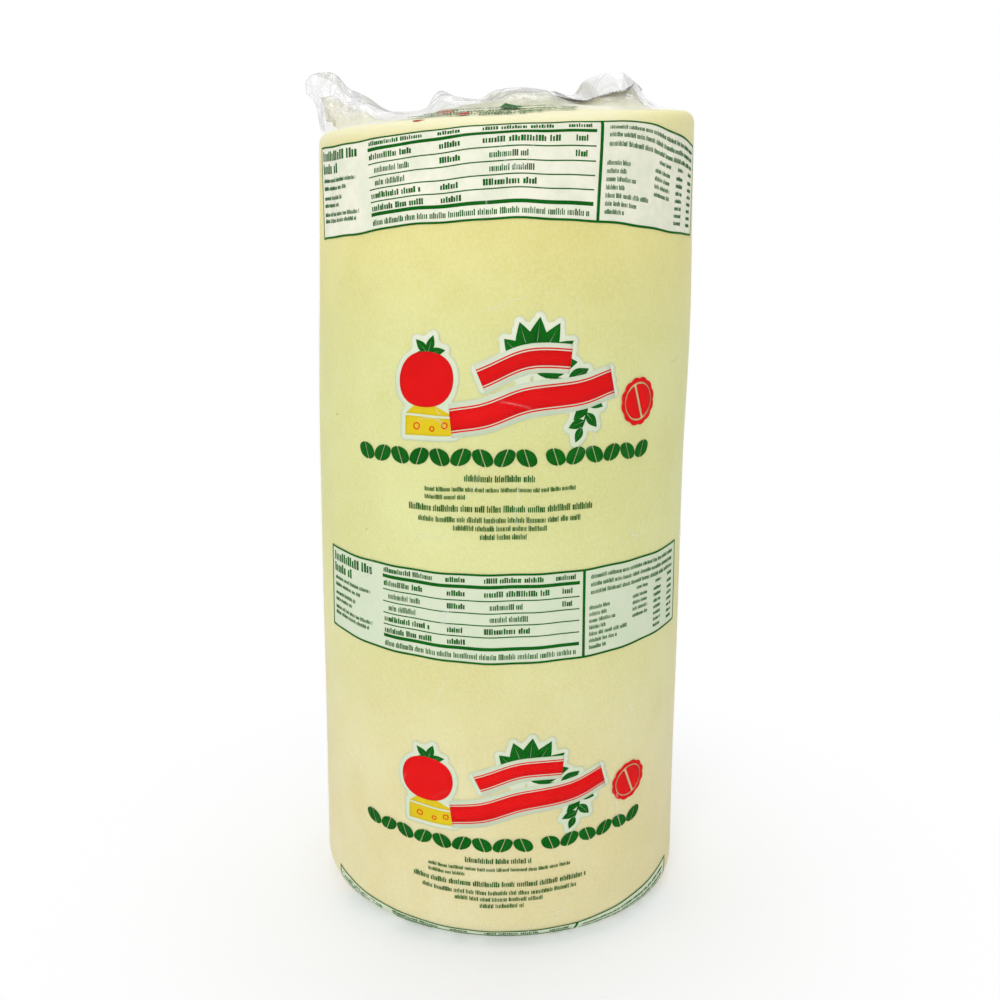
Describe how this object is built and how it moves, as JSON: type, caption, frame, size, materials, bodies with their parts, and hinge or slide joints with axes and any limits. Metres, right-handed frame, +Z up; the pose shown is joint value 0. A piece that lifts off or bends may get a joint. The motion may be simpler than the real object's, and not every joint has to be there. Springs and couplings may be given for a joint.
{
  "type": "film-wrapped provolone cheese log",
  "caption": "Whole provolone log standing on end in tight printed film, its loose sealed end crumpled into a crest over the top.",
  "frame": {"origin": "middle of the flat foot that the log stands on", "axes": "+Z up along the log, -Y towards the front with the printed emblem, +X to the right of that front"},
  "size_m": [0.1511, 0.1482, 0.325],
  "materials": {
    "cheese_in_film": "satin",
    "clear_film": "gloss"
  },
  "bodies": {
    "root": {"wrapped_log": "cheese_in_film", "film_crown": "clear_film"}
  },
  "joints": []
}
